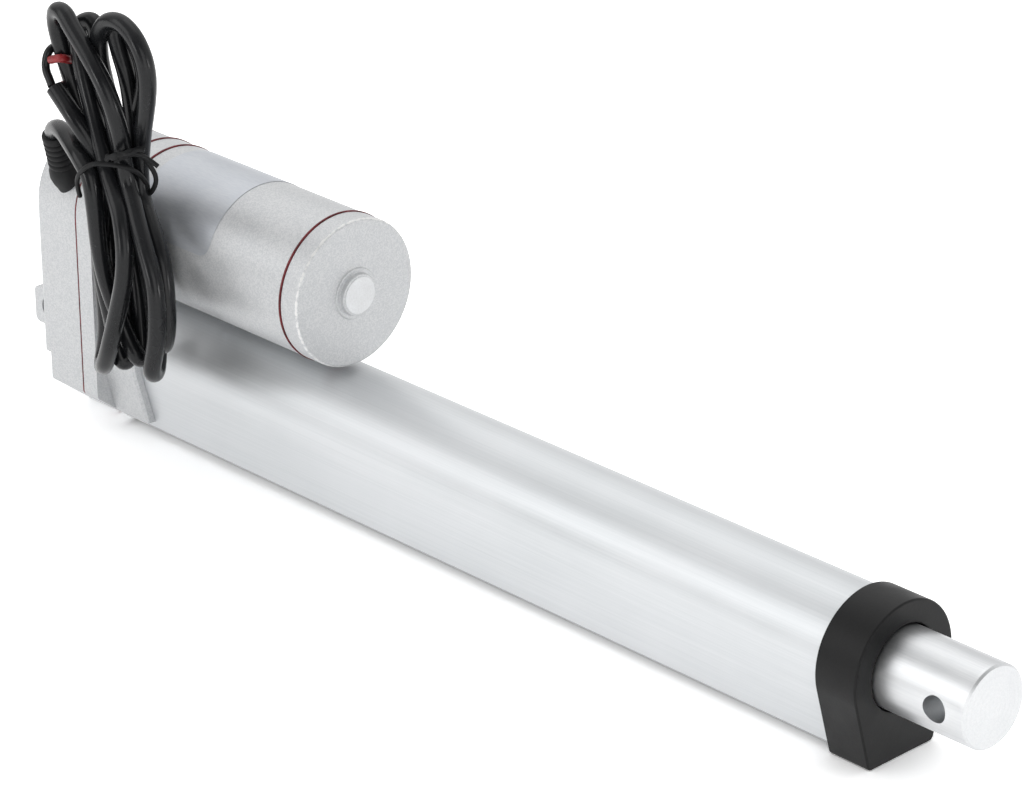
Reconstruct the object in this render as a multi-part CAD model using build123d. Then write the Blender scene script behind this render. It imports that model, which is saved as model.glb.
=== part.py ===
from build123d import *
import math
import os

# Electric linear actuator with the motor beside the rod. Millimetres.
# The origin is the centre of the rear mounting hole. +X runs along the rod in the way it
# extends, +Z runs up from the rod to the motor, and -Y is the side where the lead leaves.

# Overall layout
stroke = 200.0
closed_extra = 105.0
hole_span = stroke + closed_extra
rod_d = 20.0
mount_hole_d = 6.4
motor_rise = 34.8
base_z = -21.94

# Fits and joins
running_gap = 0.05
seat_gap = 0.05
open_gap = 0.3
gasket_t = 0.5

# Gearbox casting
gearbox_half = 18.55
gearbox_side_z = -12.8
gearbox_flat_half = 7.0
gearbox_wall = 1.9
cover_back = 8.4
cover_floor = 2.4
cover_round = 2.6
step_z = -5.6
step_in = 3.7
joint_x = 25.05
flange_front = 30.7
flange_pocket = 1.7
corner_round = 1.6

# Rear lug
lug_half_width = 9.0
lug_half_height = 5.0
lug_end = 6.1
lug_corner = 1.6

# Round motor seat, and the collar that holds the tube
seat_front = 34.3
seat_step = 0.05
collar_front = 43.5
collar_wall = 2.4
collar_open_z = -17.6

# Outer tube, a D-shaped extrusion
tube_r = 14.42
tube_flat_half = 9.6
tube_wall = 2.0
tube_corner = 1.2
tube_base_z = -20.34
seal_t = 2.7

# Front cap and its guide
cap_back = 275.75
cap_front = 287.69
cap_r = 15.96
cap_flat_half = 10.55
cap_corner = 1.4
cap_end_wall = 4.2
guide_length = 15.0
wiper_length = 1.8
wiper_wall = 1.7

# Rod and its nut
rod_tip = 8.3
rod_bore_d = 15.0
rod_end_wall = 36.0
rod_bevel = 0.5
rod_rear = 54.2
nut_length = 10.6
nut_spigot = 12.0
nut_gap = 0.32
nut_pin_d = 3.0
cam_half = 3.0
cam_length = 6.0
cam_drop = 0.8

# Lead screw
screw_d = 10.0
screw_end = 265.0
screw_front_journal_d = 8.0
screw_rear_journal_d = 6.0
screw_chamfer = 1.0

# Ball bearings of the lead screw
front_bearing_d = 22.0
front_bearing_w = 7.0
front_bearing_x = 28.7
rear_bearing_d = 12.0
rear_bearing_w = 4.0
rear_bearing_x = 12.3
hub_wall = 1.2
clip_t = 1.0
clip_wall = 2.4
clip_opening = 7.2

# Gear train: motor pinion, compound idler and screw gear
first_module = 0.7
pinion_teeth = 12
idler_teeth = 38
second_module = 0.8
idler_pinion_teeth = 13
screw_gear_teeth = 31
pressure_angle = math.radians(20.0)
tooth_tip = 0.8
tooth_root = 1.0
backlash = 0.1
screw_gear_x = 16.9
screw_gear_w = 4.4
first_stage_x = 21.9
first_stage_w = 4.3
gear_web_recess = 0.8
gear_rim = 2.2
gear_hub = 2.4
idler_pin_d = 4.0
pin_boss_wall = 1.8
pin_seat = 1.6

# Housing screws and the long motor bolts
screw_place_top = (7.2, 47.3)
screw_place_low = (9.6, -14.4)
fastener_d = 3.0
fastener_head_d = 5.4
fastener_head_h = 2.4
housing_thread = 4.0
screw_boss_wall = 1.4
motor_bolt_inset = 5.13

# Motor
motor_step = 0.28
motor_ring_w = 6.4
motor_can_length = 61.6
can_wall = 1.8
end_cap_w = 5.8
boss_r = 5.35
boss_step_r = 6.5
boss_step_h = 0.5
boss_h = 1.8
end_bevel = 0.5
shaft_d = 4.0
bush_wall = 2.5
bush_length = 4.6
magnet_t = 4.2
magnet_length = 36.0
magnet_span = math.radians(62.0)
air_gap = 0.88
core_length = 32.0
core_start = 12.5
core_poles = 5
pole_neck = 3.4
pole_rim = 2.0
slot_opening = 2.2
winding_inset = 1.9
winding_overhang = 4.0
commutator_r = 4.6
commutator_length = 7.0
commutator_cut = 0.5
commutator_bar_depth = 1.0
commutator_gap = 1.0
brush_size = 3.4
brush_length = 5.6
brush_plate_w = 2.0
brush_plate_bore = 6.0
brush_arm = 1.2
brush_arm_shift = 0.6

# Limit switches in the channel under the rod
board_t = 1.2
board_half = 6.0
board_lift = 0.15
board_rear = 45.0
board_front = 262.0
switch_length = 8.0
switch_half = 2.9
switch_h = 3.2
plunger_d = 1.8
plunger_travel = 0.4
plunger_proud = 0.6
plunger_depth = 1.6
cam_overrun = 1.5
diode_d = 1.8
diode_length = 4.0
diode_gap = 7.0

# Strain relief on the shoulder of the rear cover
boot_base = (19.4, -15.8, 43.8)
boot_tip = (19.3, -22.1, 56.8)
boot_foot_d = 9.0
boot_foot_length = 5.4
boot_base_d = 7.8
boot_tip_d = 6.2
boot_neck_d = 6.0
boot_inside = 4.5
boot_ribs = 3
boot_rib_depth = 0.6

# Lead: its route from the strain relief to the hank, then the hank's outer shape
cord_d = 4.6
cord_route = [
    (19.3, -22.1, 56.8),
    (19.24, -25.7, 64.2),
    (30.5, -28.0, 64.6),
    (43.2, -28.6, 60.4),
]
cord_turn_share = 0.45
hank_back_y = -19.2
hank_front_y = -34.2
hank_edge = 2.4
hank_waist = (41.6, 59.6)
tie_z = 57.0
tie_half_height = 1.6
tie_wire = 1.3
hank_lower_lobe = [(46.0, 9.5, 8.5), (64.5, 14.0, 9.0), (66.5, 30.0, 8.5)]
hank_upper_lobe = [(33.5, 91.0, 7.0), (59.5, 90.5, 8.5)]
lead_d = 2.0
black_lead_route = [(31.0, -28.4, 76.0), (26.4, -28.6, 80.5), (31.0, -28.8, 85.0)]
red_lead_route = [(33.0, -31.6, 79.0), (28.0, -31.6, 82.0)]


# Derived places
seat_r = gearbox_half + seat_step
motor_r = gearbox_half + motor_step
motor_bolt_reach = motor_r - motor_bolt_inset
core_r = motor_r - can_wall - seat_gap - magnet_t - air_gap
winding_r = core_r - winding_inset
cover_front = joint_x - gasket_t / 2
flange_back = joint_x + gasket_t / 2
ring_back = seat_front + gasket_t
ring_front = ring_back + motor_ring_w
can_back = ring_front + gasket_t
can_front = can_back + motor_can_length
end_back = can_front + gasket_t
end_front = end_back + end_cap_w
tube_back = flange_front + seal_t
tube_front = cap_front - cap_end_wall
rod_front = hole_span + rod_tip
rod_bore_end = rod_front - rod_end_wall
nut_back = rod_rear - nut_length
box_back = cover_back + cover_floor
box_front = flange_back + flange_pocket
first_centres = first_module * (pinion_teeth + idler_teeth) / 2
second_centres = second_module * (idler_pinion_teeth + screw_gear_teeth) / 2
idler_drop = (first_centres**2 + motor_rise**2 - second_centres**2) / (2 * motor_rise)
idler_y = math.sqrt(first_centres**2 - idler_drop**2)
idler_z = motor_rise - idler_drop
board_z = tube_base_z + tube_wall + board_lift
switch_top = board_z + board_t + switch_h
cam_z = -(tube_r - tube_wall - nut_gap) - cam_drop
rear_switch_x = nut_back + cam_overrun + plunger_d
front_switch_x = rear_switch_x + stroke


def at_x(x, y=0.0, z=0.0):
    """Place on a plane square to the rod axis; its own axes run along Y and Z."""
    return Plane.YZ.offset(x).location * Pos(y, z)


def bar(x1, x2, radius, y=0.0, z=0.0):
    """Round bar along X."""
    return extrude(at_x(x1, y, z) * Circle(radius), x2 - x1)


def ring(x1, x2, outer, inner, y=0.0, z=0.0):
    """Round tube along X."""
    return bar(x1, x2, outer, y, z) - bar(x1, x2, inner, y, z)


def turned(points, z=0.0):
    """Solid turned about X at height z from (x, radius) points, first and last on the axis."""
    half = make_face(Polyline(*points, close=True))
    return Pos(0, 0, z) * revolve(Plane.XZ * half, Axis.X)


def d_profile(top_r, flat_half, floor_z, corner):
    """D outline: a round top, two straight sides that leave it tangentially, and a flat base."""
    lean = math.atan2(floor_z, flat_half) + math.acos(top_r / math.hypot(flat_half, floor_z))
    touch = (top_r * math.cos(lean), top_r * math.sin(lean))
    edges = [
        Line((flat_half, floor_z), touch),
        ThreePointArc(touch, (0, top_r), (-touch[0], touch[1])),
        Line((-touch[0], touch[1]), (-flat_half, floor_z)),
        Line((-flat_half, floor_z), (flat_half, floor_z)),
    ]
    face = make_face(edges)
    return fillet(face.vertices().sort_by(Axis.Y)[:2], corner) if corner else face


def tube_profile(grow=0.0):
    """Outline of the outer tube, grown or shrunk evenly."""
    face = d_profile(tube_r, tube_flat_half, tube_base_z, tube_corner)
    return offset(face, grow) if grow else face


def gearbox_profile(grow=0.0):
    """Outline of the gearbox: round over the motor axis, straight sides, chamfers and a flat base."""
    edges = [
        Line((gearbox_half, motor_rise), (gearbox_half, gearbox_side_z)),
        Line((gearbox_half, gearbox_side_z), (gearbox_flat_half, base_z)),
        Line((gearbox_flat_half, base_z), (-gearbox_flat_half, base_z)),
        Line((-gearbox_flat_half, base_z), (-gearbox_half, gearbox_side_z)),
        Line((-gearbox_half, gearbox_side_z), (-gearbox_half, motor_rise)),
        ThreePointArc((-gearbox_half, motor_rise), (0, motor_rise + gearbox_half), (gearbox_half, motor_rise)),
    ]
    face = make_face(edges)
    low = [v for v in face.vertices() if v.Y < motor_rise - 1]
    face = fillet(low, corner_round)
    return offset(face, grow) if grow else face


def housing_screw_places():
    """The four housing screws, as (y, z)."""
    return [(side * y, z) for y, z in (screw_place_top, screw_place_low) for side in (-1, 1)]


def motor_bolt_places():
    """The two long motor bolts, as (y, z)."""
    return [(side * motor_bolt_reach, motor_rise) for side in (-1, 1)]


def bolt(head_x, tip_x, y, z):
    """Cap screw along X with its head at the rear."""
    head = bar(head_x, head_x + fastener_head_h, fastener_head_d / 2, y, z)
    return head + bar(head_x + fastener_head_h, tip_x, fastener_d / 2, y, z)


def boot_frame():
    """Place of the strain relief: at its base, with local Z towards its tip."""
    base = Vector(*boot_base)
    return Plane(origin=base, z_dir=Vector(*boot_tip) - base)


def boot_length():
    """Length of the strain relief outside the cover."""
    return (Vector(*boot_tip) - Vector(*boot_base)).length


def cover_body():
    """Outside of the rear cover, with its lug and its lower step, before it is hollowed."""
    depth = cover_front - cover_back
    body = extrude(at_x(cover_back) * gearbox_profile(), depth)
    rear_edges = body.faces().sort_by(Axis.X)[0].edges()
    body = fillet(rear_edges, cover_round)
    step_height = step_z - base_z
    step = Pos(cover_back + step_in / 2, 0, base_z + step_height / 2) * Box(
        step_in, 2 * gearbox_half, step_height
    )
    lug_length = lug_end + cover_back + cover_floor
    lug = Pos(lug_length / 2 - lug_end, 0, 0) * Box(
        lug_length, 2 * lug_half_width, 2 * lug_half_height
    )
    lug = fillet(lug.edges().filter_by(Axis.Y).sort_by(Axis.X)[:2], lug_corner)
    return body - step + lug


def rear_cover():
    """Cast rear cover: hollow for the gears, with bearing boss, pin boss and screw bosses."""
    body = cover_body()
    inside = extrude(at_x(box_back) * gearbox_profile(-gearbox_wall), cover_front - box_back)
    shelf_height = step_z - base_z
    inside -= Pos(box_back + step_in / 2, 0, base_z + shelf_height / 2) * Box(
        step_in, 2 * gearbox_half, shelf_height
    )
    bosses = bar(box_back, rear_bearing_x + rear_bearing_w, rear_bearing_d / 2 + hub_wall)
    bosses += bar(
        box_back, screw_gear_x - open_gap, idler_pin_d / 2 + pin_boss_wall, idler_y, idler_z
    )
    for y, z in housing_screw_places():
        bosses += bar(box_back, cover_front, fastener_head_d / 2 + screw_boss_wall, y, z)
    body = body - (inside - bosses)
    hole = Plane.XZ * Circle(mount_hole_d / 2)
    body -= extrude(hole, lug_half_width, both=True)
    body -= bar(rear_bearing_x, cover_front, rear_bearing_d / 2 + seat_gap)
    body -= bar(box_back - pin_seat / 2, cover_front, idler_pin_d / 2 + seat_gap, idler_y, idler_z)
    for y, z in housing_screw_places():
        body -= bar(cover_back, cover_front, fastener_d / 2 + seat_gap, y, z)
        sunk = cover_back + step_in + fastener_head_h
        body -= bar(cover_back, sunk, fastener_head_d / 2 + seat_gap, y, z)
    neck = boot_frame() * Pos(0, 0, -boot_inside) * Cylinder(
        boot_neck_d / 2 + seat_gap, 2 * boot_inside, align=(Align.CENTER, Align.CENTER, Align.MIN)
    )
    return body - neck


def front_housing():
    """Cast front housing: flange, round motor seat, bearing hub and the collar round the tube."""
    body = extrude(at_x(flange_back) * gearbox_profile(), flange_front - flange_back)
    body += bar(flange_front, seat_front, seat_r, 0, motor_rise)
    collar = extrude(
        at_x(flange_front) * offset(tube_profile(), collar_wall), collar_front - flange_front
    )
    collar = chamfer(collar.faces().sort_by(Axis.X)[-1].edges(), collar_wall / 4)
    open_height = collar_open_z - (tube_base_z - collar_wall)
    gap = Pos((flange_front + collar_front) / 2, 0, collar_open_z - open_height / 2) * Box(
        collar_front - flange_front, 2 * gearbox_half, open_height
    )
    motor_room = bar(seat_front, collar_front, motor_r + open_gap, 0, motor_rise)
    body += collar - gap - motor_room
    tube_room = extrude(
        at_x(flange_front) * tube_profile(seat_gap), collar_front - flange_front
    )
    body -= tube_room
    hub_front = front_bearing_x + front_bearing_w
    body += bar(box_front, hub_front, front_bearing_d / 2 + hub_wall)
    pocket = extrude(at_x(flange_back) * gearbox_profile(-gearbox_wall), flange_pocket)
    for y, z in housing_screw_places():
        pocket -= bar(flange_back, box_front, fastener_head_d / 2 + screw_boss_wall, y, z)
    body -= pocket
    body -= bar(front_bearing_x, hub_front, front_bearing_d / 2 + seat_gap)
    body -= bar(box_front, front_bearing_x, screw_front_journal_d / 2 + open_gap)
    body -= bar(box_front, box_front + pin_seat, idler_pin_d / 2 + seat_gap, idler_y, idler_z)
    body -= bar(box_front, seat_front, shaft_d / 2 + open_gap, 0, motor_rise)
    for y, z in motor_bolt_places():
        body -= bar(box_front, seat_front, fastener_d / 2 + seat_gap, y, z)
    for y, z in housing_screw_places():
        body -= bar(flange_back, flange_back + housing_thread, fastener_d / 2 + seat_gap, y, z)
    return body


def housing_gasket():
    """Thin gasket between the rims of the two castings."""
    outline = gearbox_profile() - gearbox_profile(-gearbox_wall)
    return extrude(at_x(cover_front) * outline, gasket_t)


def housing_screws():
    """Four screws through the rear cover into the front housing."""
    head_x = cover_back + step_in
    tip = flange_back + housing_thread - open_gap
    return [bolt(head_x, tip, y, z) for y, z in housing_screw_places()]


def motor_bolts():
    """Two long bolts from inside the gearbox, through ring and can, into the motor's end cap."""
    head_x = box_front - fastener_head_h
    tip = end_back + end_cap_w / 2
    return [bolt(head_x, tip, y, z) for y, z in motor_bolt_places()]


def motor_plate(x1, x2, bore):
    """Round plate of the motor's diameter with the bolt holes through it."""
    body = ring(x1, x2, motor_r, bore, 0, motor_rise)
    for y, z in motor_bolt_places():
        body -= bar(x1, x2, fastener_d / 2 + seat_gap, y, z)
    return body


def motor_ring():
    """Front plate of the motor, bored for its bush."""
    return motor_plate(ring_back, ring_front, shaft_d / 2 + bush_wall + seat_gap)


def motor_gaskets():
    """Ring gaskets as wide as the wall of the can, behind the ring and at both ends of the can."""
    inner = motor_r - can_wall
    places = [seat_front, ring_front, can_front]
    return [ring(x, x + gasket_t, motor_r, inner, 0, motor_rise) for x in places]


def motor_can():
    """Steel can of the motor."""
    return ring(can_back, can_front, motor_r, motor_r - can_wall, 0, motor_rise)


def motor_end_cap():
    """End cap with the low stepped boss over its bush."""
    points = [
        (end_back, 0),
        (end_back, motor_r),
        (end_front - end_bevel, motor_r),
        (end_front, motor_r - end_bevel),
        (end_front, boss_step_r),
        (end_front + boss_step_h, boss_step_r),
        (end_front + boss_step_h, boss_r),
        (end_front + boss_h, boss_r),
        (end_front + boss_h, 0),
    ]
    body = turned(points, motor_rise)
    body -= bar(end_back, end_back + bush_length, shaft_d / 2 + bush_wall + seat_gap, 0, motor_rise)
    body -= bar(end_back, end_front, shaft_d / 2 + open_gap, 0, motor_rise)
    for y, z in motor_bolt_places():
        body -= bar(end_back, end_back + end_cap_w / 2 + open_gap, fastener_d / 2 + seat_gap, y, z)
    return body


def motor_bush(x1):
    """Sintered bush that carries the armature shaft."""
    bore = shaft_d / 2 + running_gap
    return ring(x1, x1 + bush_length, shaft_d / 2 + bush_wall, bore, 0, motor_rise)


def magnets():
    """Two curved magnets against the inside of the can, above and below the armature."""
    start = can_back + core_start - (magnet_length - core_length) / 2
    outer = motor_r - can_wall - seat_gap
    shell = ring(start, start + magnet_length, outer, outer - magnet_t, 0, motor_rise)
    reach = 2 * motor_r
    side = reach * math.tan(math.pi / 2 - magnet_span)
    wedge = make_face(Polyline((0, 0), (side, reach), (-side, reach), close=True))
    upper = extrude(at_x(start, 0, motor_rise) * wedge, magnet_length)
    lower = extrude(at_x(start, 0, motor_rise) * Rot(0, 0, 180) * wedge, magnet_length)
    return [shell & upper, shell & lower]


def armature_core():
    """Laminated stack with five wound poles."""
    start = can_back + core_start
    slot_floor = shaft_d / 2 + pole_neck / 2
    face = Circle(core_r)
    pitch = 360.0 / core_poles
    slot_r = core_r - pole_rim
    slot = Circle(slot_r) - Circle(slot_floor)
    for n in range(core_poles):
        pole = Rot(0, 0, n * pitch) * Pos(slot_r / 2, 0) * Rectangle(slot_r, pole_neck)
        slot -= pole
        mouth = Rot(0, 0, (n + 0.5) * pitch) * Pos(core_r, 0) * Rectangle(3 * pole_rim, slot_opening)
        face -= mouth
    face = face - slot - Circle(shaft_d / 2)
    return extrude(at_x(start, 0, motor_rise) * face, core_length)


def windings():
    """Copper coils: they fill the slots and stand out at both ends of the stack."""
    start = can_back + core_start
    slot_floor = shaft_d / 2 + pole_neck / 2
    coil = ring(start, start + core_length, core_r - pole_rim, slot_floor, 0, motor_rise)
    coil -= armature_core()
    ends = [start - winding_overhang, start + core_length]
    for x in ends:
        coil += ring(x, x + winding_overhang, winding_r, slot_floor, 0, motor_rise)
    return coil


def commutator_start():
    """Rear face of the commutator, along X."""
    return can_back + core_start + core_length + winding_overhang + commutator_gap


def commutator():
    """Commutator with a cut between its bars."""
    start = commutator_start()
    body = ring(start, start + commutator_length, commutator_r, shaft_d / 2, 0, motor_rise)
    for n in range(core_poles):
        cut = Rot(0, 0, (n + 0.5) * 360.0 / core_poles) * Pos(commutator_r, 0) * Rectangle(
            2 * commutator_bar_depth, commutator_cut
        )
        body -= extrude(at_x(start, 0, motor_rise) * cut, commutator_length)
    return body


def commutator_middle():
    """Where the brushes press, along X."""
    return commutator_start() + commutator_length / 2


def brush_plate():
    """Insulating plate in the can, with an arm behind each brush."""
    x = commutator_middle() + brush_size / 2 + open_gap
    outer = motor_r - can_wall - seat_gap
    body = ring(x, x + brush_plate_w, outer, brush_plate_bore, 0, motor_rise)
    for y, z in motor_bolt_places():
        body -= bar(x, x + brush_plate_w, fastener_d / 2 + seat_gap, y, z)
    arm_z = motor_rise + brush_size / 2 + brush_arm / 2
    for low in (False, True):
        for side in (-1, 1):
            z = 2 * motor_rise - arm_z if low else arm_z
            y = side * (commutator_r + brush_length / 2 + brush_arm_shift)
            body += Pos(x - brush_size / 2, y, z) * Box(brush_size, brush_length, brush_arm)
    return body


def brushes():
    """Two carbon brushes against the commutator."""
    y = commutator_r + running_gap + brush_length / 2
    block = Box(brush_size, brush_length, brush_size)
    return [Pos(commutator_middle() - open_gap, side * y, motor_rise) * block for side in (-1, 1)]


def armature_shaft():
    """Motor shaft from the pinion to the end cap."""
    return bar(first_stage_x - open_gap, end_back + bush_length, shaft_d / 2, 0, motor_rise)


def involute(angle):
    """Involute function."""
    return math.tan(angle) - angle


def gear_face(module, teeth, first_tooth):
    """Outline of a spur gear whose first tooth points at the angle first_tooth."""
    pitch_r = module * teeth / 2
    base_r = pitch_r * math.cos(pressure_angle)
    tip_r = pitch_r + tooth_tip * module
    root_r = pitch_r - tooth_root * module
    foot_r = max(base_r, root_r)
    half_tooth = (math.pi * module / 2 - backlash) / (2 * pitch_r)

    def spot(radius, side, centre):
        """Point on a flank; side is -1 or 1."""
        swing = half_tooth + involute(pressure_angle)
        if radius > base_r:
            swing -= involute(math.acos(base_r / radius))
        turn = centre + side * swing
        return (radius * math.cos(turn), radius * math.sin(turn))

    edges = []
    pitch = 2 * math.pi / teeth
    middle_r = (foot_r + tip_r) / 2
    last = None
    for n in range(teeth):
        centre = first_tooth + n * pitch
        foot = spot(root_r, -1, centre)
        if last is None:
            first = foot
        else:
            edges.append(Line(last, foot))
        edges += flank(spot, root_r, foot_r, middle_r, tip_r, -1, centre)
        edges.append(Line(spot(tip_r, -1, centre), spot(tip_r, 1, centre)))
        edges += flank(spot, root_r, foot_r, middle_r, tip_r, 1, centre)
        last = spot(root_r, 1, centre)
    edges.append(Line(last, first))
    return make_face(edges)


def flank(spot, root_r, foot_r, middle_r, tip_r, side, centre):
    """One flank of a tooth: the involute in two runs, and a foot where the base circle is high."""
    foot, middle, tip = (spot(r, side, centre) for r in (foot_r, middle_r, tip_r))
    edges = [Line(foot, middle), Line(middle, tip)]
    if foot_r > root_r:
        edges.append(Line(spot(root_r, side, centre), foot))
    return edges


def towards_idler_from_motor():
    """Direction from the motor axis to the idler, as an angle from Y towards Z."""
    return math.atan2(idler_z - motor_rise, idler_y)


def towards_idler_from_screw():
    """Direction from the lead screw to the idler, as an angle from Y towards Z."""
    return math.atan2(idler_z, idler_y)


def motor_pinion():
    """Pinion on the armature shaft, with a tooth gap facing the idler."""
    half_pitch = math.pi / pinion_teeth
    face = gear_face(first_module, pinion_teeth, towards_idler_from_motor() + half_pitch)
    face -= Circle(shaft_d / 2)
    return extrude(at_x(first_stage_x, 0, motor_rise) * face, first_stage_w)


def idler_gear():
    """Compound idler: a large wheel driven by the motor and a small one that drives the screw."""
    big = gear_face(first_module, idler_teeth, towards_idler_from_motor() + math.pi)
    small = gear_face(second_module, idler_pinion_teeth, towards_idler_from_screw() + math.pi)
    body = extrude(at_x(first_stage_x, idler_y, idler_z) * big, first_stage_w)
    body += extrude(at_x(screw_gear_x, idler_y, idler_z) * small, first_stage_x - screw_gear_x)
    rim = first_module * idler_teeth / 2 - gear_rim
    front = first_stage_x + first_stage_w
    hub = idler_pin_d / 2 + gear_hub
    body -= ring(front - gear_web_recess, front, rim, hub, idler_y, idler_z)
    bore = idler_pin_d / 2 + running_gap
    return body - bar(screw_gear_x, front, bore, idler_y, idler_z)


def idler_pin():
    """Fixed pin that the idler turns on, held in both castings."""
    start = box_back - pin_seat / 2
    return bar(start, box_front + pin_seat, idler_pin_d / 2, idler_y, idler_z)


def screw_gear():
    """Wheel on the rear journal of the lead screw, with a tooth gap facing the idler."""
    half_pitch = math.pi / screw_gear_teeth
    face = gear_face(second_module, screw_gear_teeth, towards_idler_from_screw() + half_pitch)
    face -= Circle(screw_rear_journal_d / 2)
    body = extrude(at_x(screw_gear_x) * face, screw_gear_w)
    rim = second_module * screw_gear_teeth / 2 - gear_rim
    hub = screw_rear_journal_d / 2 + gear_hub
    return body - ring(screw_gear_x, screw_gear_x + gear_web_recess, rim, hub)


def rear_bearing():
    """Shut ball bearing on the rear journal of the lead screw."""
    bore = screw_rear_journal_d / 2 + running_gap
    return ring(rear_bearing_x, rear_bearing_x + rear_bearing_w, rear_bearing_d / 2, bore)


def front_bearing():
    """Shut ball bearing on the front journal of the lead screw."""
    bore = screw_front_journal_d / 2 + running_gap
    return ring(front_bearing_x, front_bearing_x + front_bearing_w, front_bearing_d / 2, bore)


def lead_screw():
    """Lead screw: thread, front journal and the thinner rear journal for its gear."""
    front = front_bearing_x + front_bearing_w
    journal = screw_front_journal_d / 2
    tail = screw_rear_journal_d / 2
    points = [
        (rear_bearing_x, 0),
        (rear_bearing_x, tail),
        (box_front, tail),
        (box_front, journal),
        (front + clip_t, journal),
        (front + clip_t, screw_d / 2),
        (screw_end - screw_chamfer, screw_d / 2),
        (screw_end, screw_d / 2 - screw_chamfer),
        (screw_end, 0),
    ]
    return turned(points)


def bearing_retainer():
    """Snap ring that holds the front bearing in its hub."""
    x = front_bearing_x + front_bearing_w
    body = ring(x, x + clip_t, front_bearing_d / 2 + hub_wall, front_bearing_d / 2 - clip_wall)
    slot = Pos(x + clip_t / 2, 0, front_bearing_d / 2) * Box(
        clip_t, clip_opening, 3 * clip_wall
    )
    return body - slot


def tube_seal():
    """Rubber seal between the flange and the rear end of the tube."""
    face = tube_profile() - tube_profile(-tube_wall)
    return extrude(at_x(flange_front) * face, seal_t)


def outer_tube():
    """D-shaped tube that guides the nut and carries the limit switches."""
    face = tube_profile() - tube_profile(-tube_wall)
    return extrude(at_x(tube_back) * face, tube_front - tube_back)


def front_guide():
    """Plastic guide in the mouth of the tube."""
    face = tube_profile(-tube_wall - seat_gap) - Circle(rod_d / 2 + running_gap)
    return extrude(at_x(tube_front - guide_length) * face, guide_length)


def front_cap():
    """Moulded cap over the front end of the tube."""
    body = extrude(
        at_x(cap_back) * d_profile(cap_r, cap_flat_half, base_z, cap_corner), cap_front - cap_back
    )
    body -= extrude(at_x(cap_back) * tube_profile(seat_gap), tube_front - cap_back)
    body -= bar(tube_front, cap_front, rod_d / 2 + open_gap)
    seat = rod_d / 2 + running_gap + wiper_wall + seat_gap
    return body - bar(tube_front, tube_front + wiper_length, seat)


def rod_wiper():
    """Rubber wiper behind the lip of the cap."""
    inner = rod_d / 2 + running_gap
    return ring(tube_front, tube_front + wiper_length, inner + wiper_wall, inner)


def rod():
    """Push rod: bored from the rear for the screw, solid and cross-drilled at the front."""
    radius = rod_d / 2
    points = [
        (rod_rear, 0),
        (rod_rear, radius),
        (rod_front - rod_bevel, radius),
        (rod_front, radius - rod_bevel),
        (rod_front, 0),
    ]
    body = turned(points)
    body -= bar(rod_rear, rod_bore_end, rod_bore_d / 2)
    pin_x = rod_rear + nut_spigot / 2
    body -= Pos(pin_x, 0, 0) * Rot(90, 0, 0) * Cylinder(nut_pin_d / 2 + seat_gap, 2 * rod_d)
    return body - Pos(hole_span, 0, 0) * Rot(90, 0, 0) * Cylinder(mount_hole_d / 2, 2 * rod_d)


def drive_nut():
    """Nut of the lead screw: a flange in the tube, a spigot in the rod and the switch cam."""
    flange_r = tube_r - tube_wall - nut_gap
    body = bar(nut_back, rod_rear, flange_r)
    body += bar(rod_rear, rod_rear + nut_spigot, rod_bore_d / 2 - seat_gap)
    cam = Pos(nut_back + cam_length / 2, 0, cam_z / 2) * Box(cam_length, 2 * cam_half, -cam_z)
    body += cam
    body -= bar(nut_back, rod_rear + nut_spigot, screw_d / 2 + running_gap)
    pin_x = rod_rear + nut_spigot / 2
    return body - Pos(pin_x, 0, 0) * Rot(90, 0, 0) * Cylinder(nut_pin_d / 2 + seat_gap, 2 * rod_d)


def nut_pins():
    """Two short pins through the rod's wall into the spigot of the nut."""
    inner = screw_d / 2 + open_gap + running_gap
    length = rod_d / 2 - inner - seat_gap
    pin_x = rod_rear + nut_spigot / 2
    reach = inner + length / 2
    pin = Rot(90, 0, 0) * Cylinder(nut_pin_d / 2, length)
    return [Pos(pin_x, side * reach, 0) * pin for side in (-1, 1)]


def limit_board():
    """Long circuit board on the floor of the tube."""
    length = board_front - board_rear
    return Pos(board_rear + length / 2, 0, board_z + board_t / 2) * Box(length, 2 * board_half, board_t)


def limit_switch(x):
    """Switch body with the hole for its plunger."""
    z = board_z + board_t + switch_h / 2
    body = Pos(x, 0, z) * Box(switch_length, 2 * switch_half, switch_h)
    depth = plunger_depth + plunger_travel + open_gap
    hole = Pos(x, 0, switch_top - depth / 2) * Cylinder(plunger_d / 2 + running_gap, depth)
    return body - hole


def switch_plunger(x):
    """Plunger that the cam of the nut passes over."""
    height = plunger_depth + plunger_proud
    z = switch_top + plunger_proud - height / 2
    return Pos(x, 0, z) * Cylinder(plunger_d / 2, height)


def board_diodes():
    """A diode beside each limit switch."""
    z = board_z + board_t + diode_d / 2
    places = [rear_switch_x + diode_gap, front_switch_x - diode_gap]
    return [Pos(x, 0, z) * Rot(90, 0, 0) * Cylinder(diode_d / 2, diode_length) for x in places]


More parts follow.
